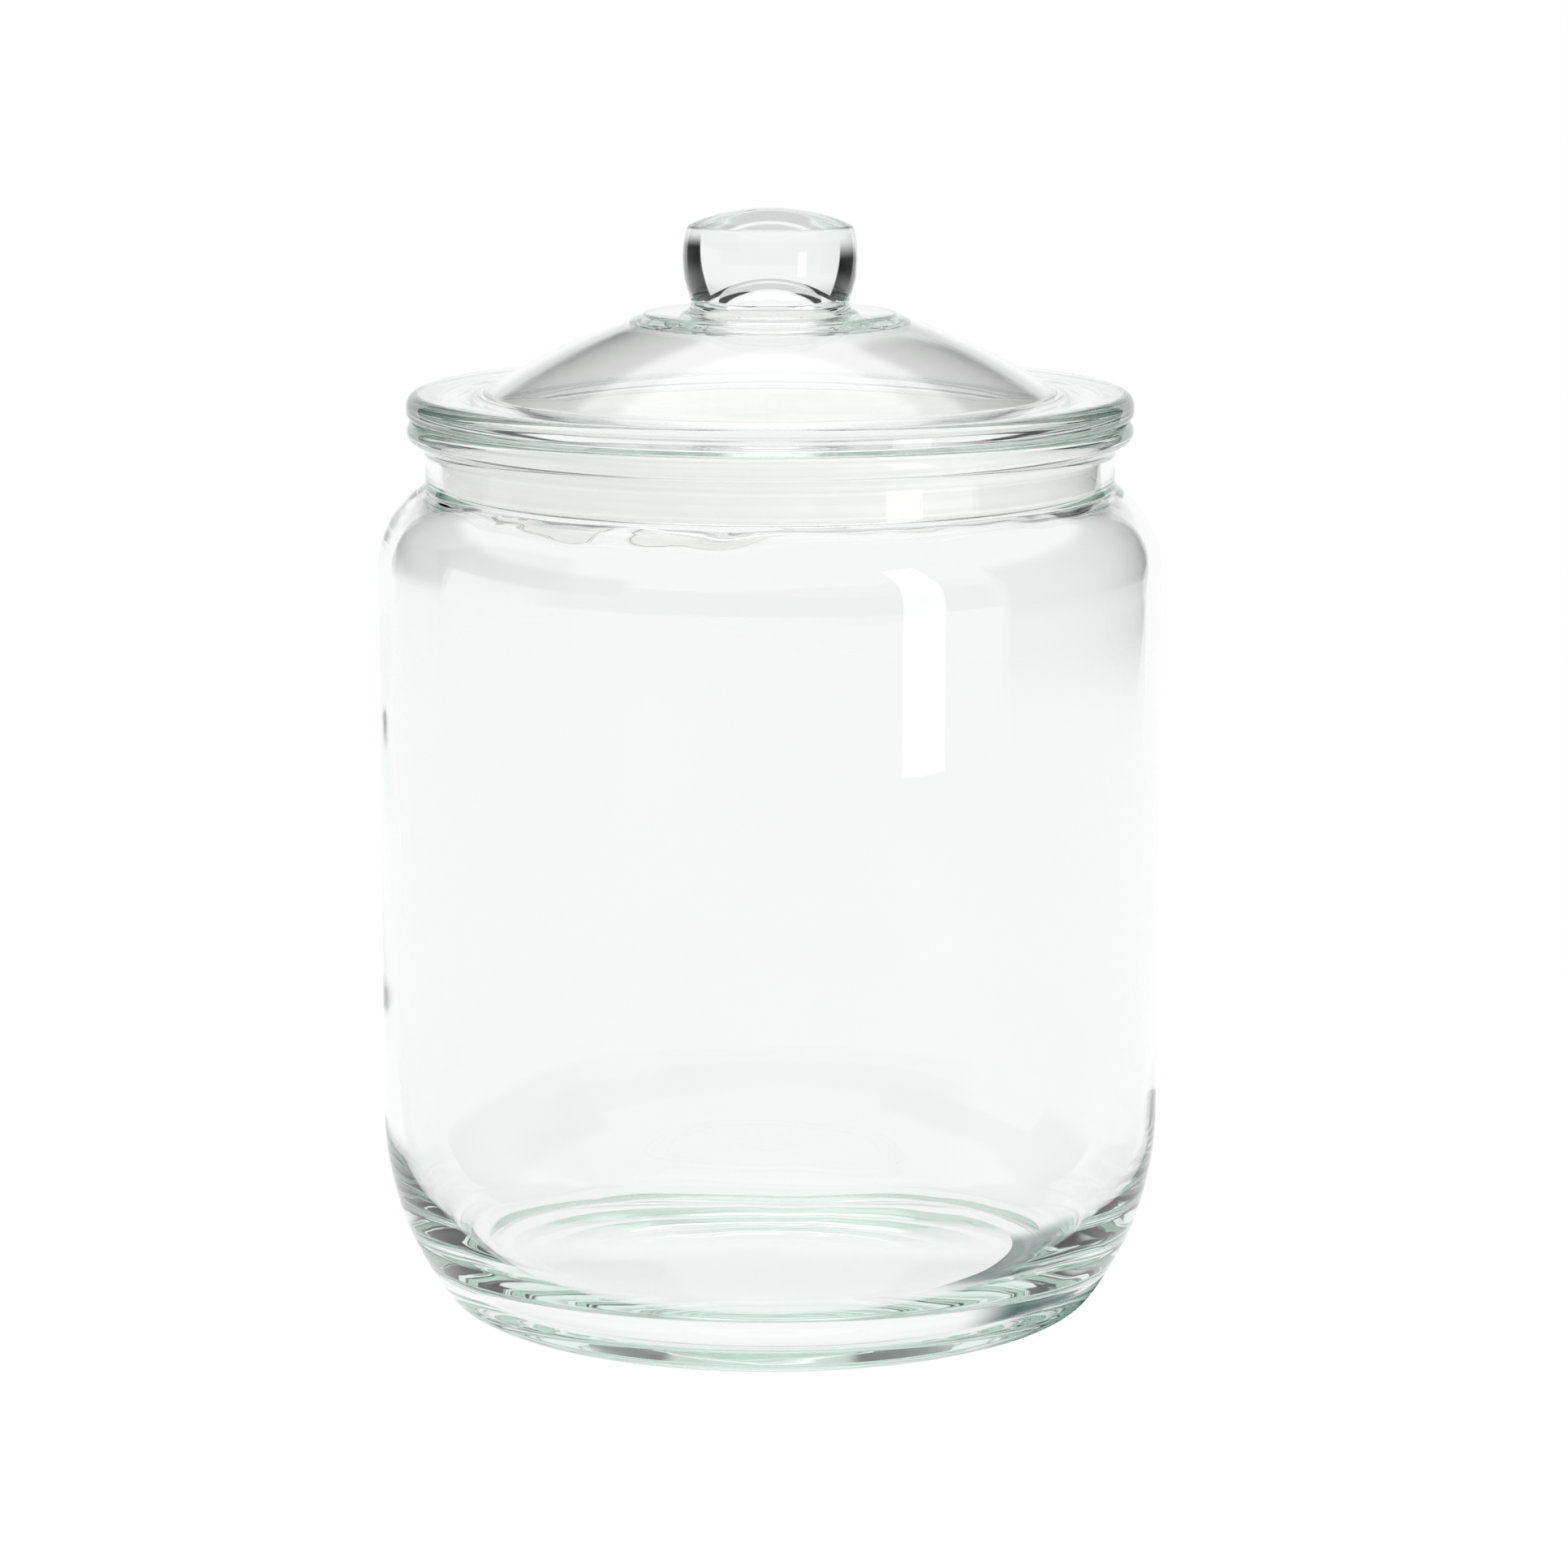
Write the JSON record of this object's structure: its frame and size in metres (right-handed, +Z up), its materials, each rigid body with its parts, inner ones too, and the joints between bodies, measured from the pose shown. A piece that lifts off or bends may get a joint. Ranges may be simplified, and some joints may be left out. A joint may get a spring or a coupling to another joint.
{
  "type": "glass storage jar",
  "caption": "Clear round glass storage jar with a push-in domed glass lid, glass knob and a soft ring that seals the lid in the neck.",
  "frame": {"origin": "centre of the jar's standing ring, on the surface that the jar stands on", "axes": "+Z up along the jar's axis; every piece is round, so X and Y are any two square directions"},
  "size_m": [0.22, 0.22, 0.31],
  "materials": {
    "clear_glass": "clear polished soda-lime glass, slightly wavy, faintly green through its edges",
    "milky_silicone": "satin, milky and translucent"
  },
  "bodies": {
    "jar": {"jar_body": "clear_glass"},
    "seal": {"lid_seal": "milky_silicone"},
    "lid": {"lid": "clear_glass"}
  },
  "joints": [
    {"name": "lid_lift", "type": "slide", "parent": "jar", "child": "seal", "axis": [0, 0, 1], "range_m": [0, 0.15]},
    {"name": "lid_turn", "type": "hinge", "parent": "seal", "child": "lid", "pos_m": [0, 0, 0.2517], "axis": [0, 0, 1], "continuous": true}
  ]
}
